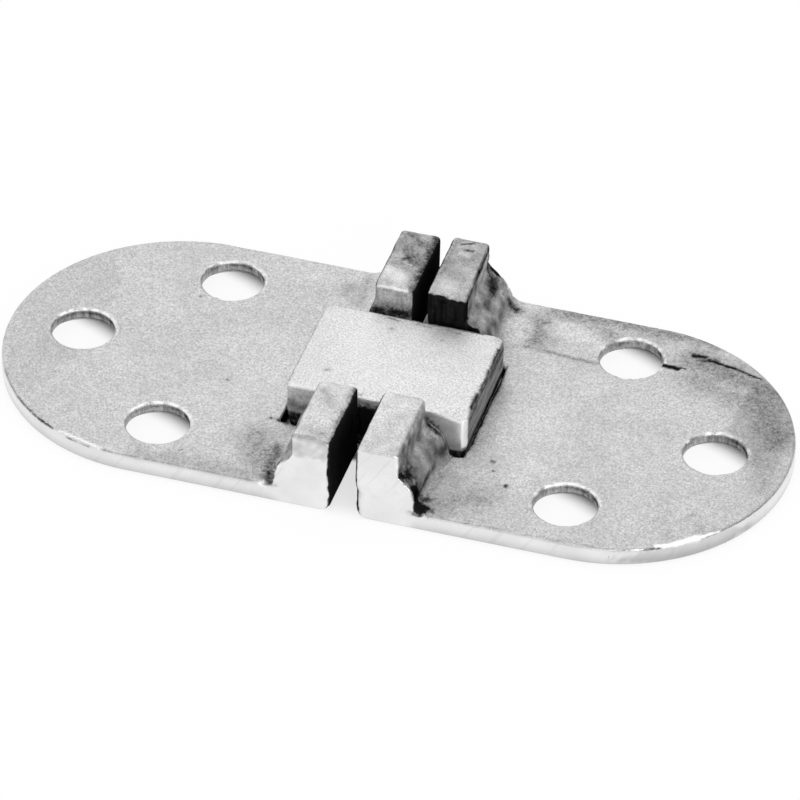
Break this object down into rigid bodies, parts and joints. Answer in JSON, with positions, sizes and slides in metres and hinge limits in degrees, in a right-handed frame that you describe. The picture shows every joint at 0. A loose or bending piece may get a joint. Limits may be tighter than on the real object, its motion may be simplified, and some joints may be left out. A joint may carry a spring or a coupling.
{
  "type": "concealed flap hinge",
  "caption": "Flush flap hinge: two round-ended leaves with countersunk holes and lugs, joined by a rectangular link that turns on a pin at each end, so the leaves fold flat.",
  "frame": {"origin": "middle of the open hinge, on the flat show face that it lies on", "axes": "+X from the left leaf to the right leaf, +Y along the pins, +Z away from the show face"},
  "size_m": [0.079, 0.035, 0.0084],
  "materials": {
    "leaf_steel": "cast and tumbled to a fine satin grain, ground on the sides",
    "link_steel": "fine satin with small pits",
    "pin_steel": "drawn wire, ends ground flush"
  },
  "bodies": {
    "left_leaf": {"left_leaf": "leaf_steel", "left_pin": "pin_steel"},
    "link": {"link": "link_steel"},
    "right_leaf": {"right_leaf": "leaf_steel", "right_pin": "pin_steel"}
  },
  "joints": [
    {"name": "left_pivot", "type": "hinge", "parent": "left_leaf", "child": "link", "pos_m": [-0.00315, 0, 0.00285], "axis": [0, 1, 0], "range_deg": [-6, 90]},
    {"name": "right_pivot", "type": "hinge", "parent": "link", "child": "right_leaf", "pos_m": [0.00315, 0, 0.00285], "axis": [0, 1, 0], "range_deg": [-6, 90]}
  ]
}
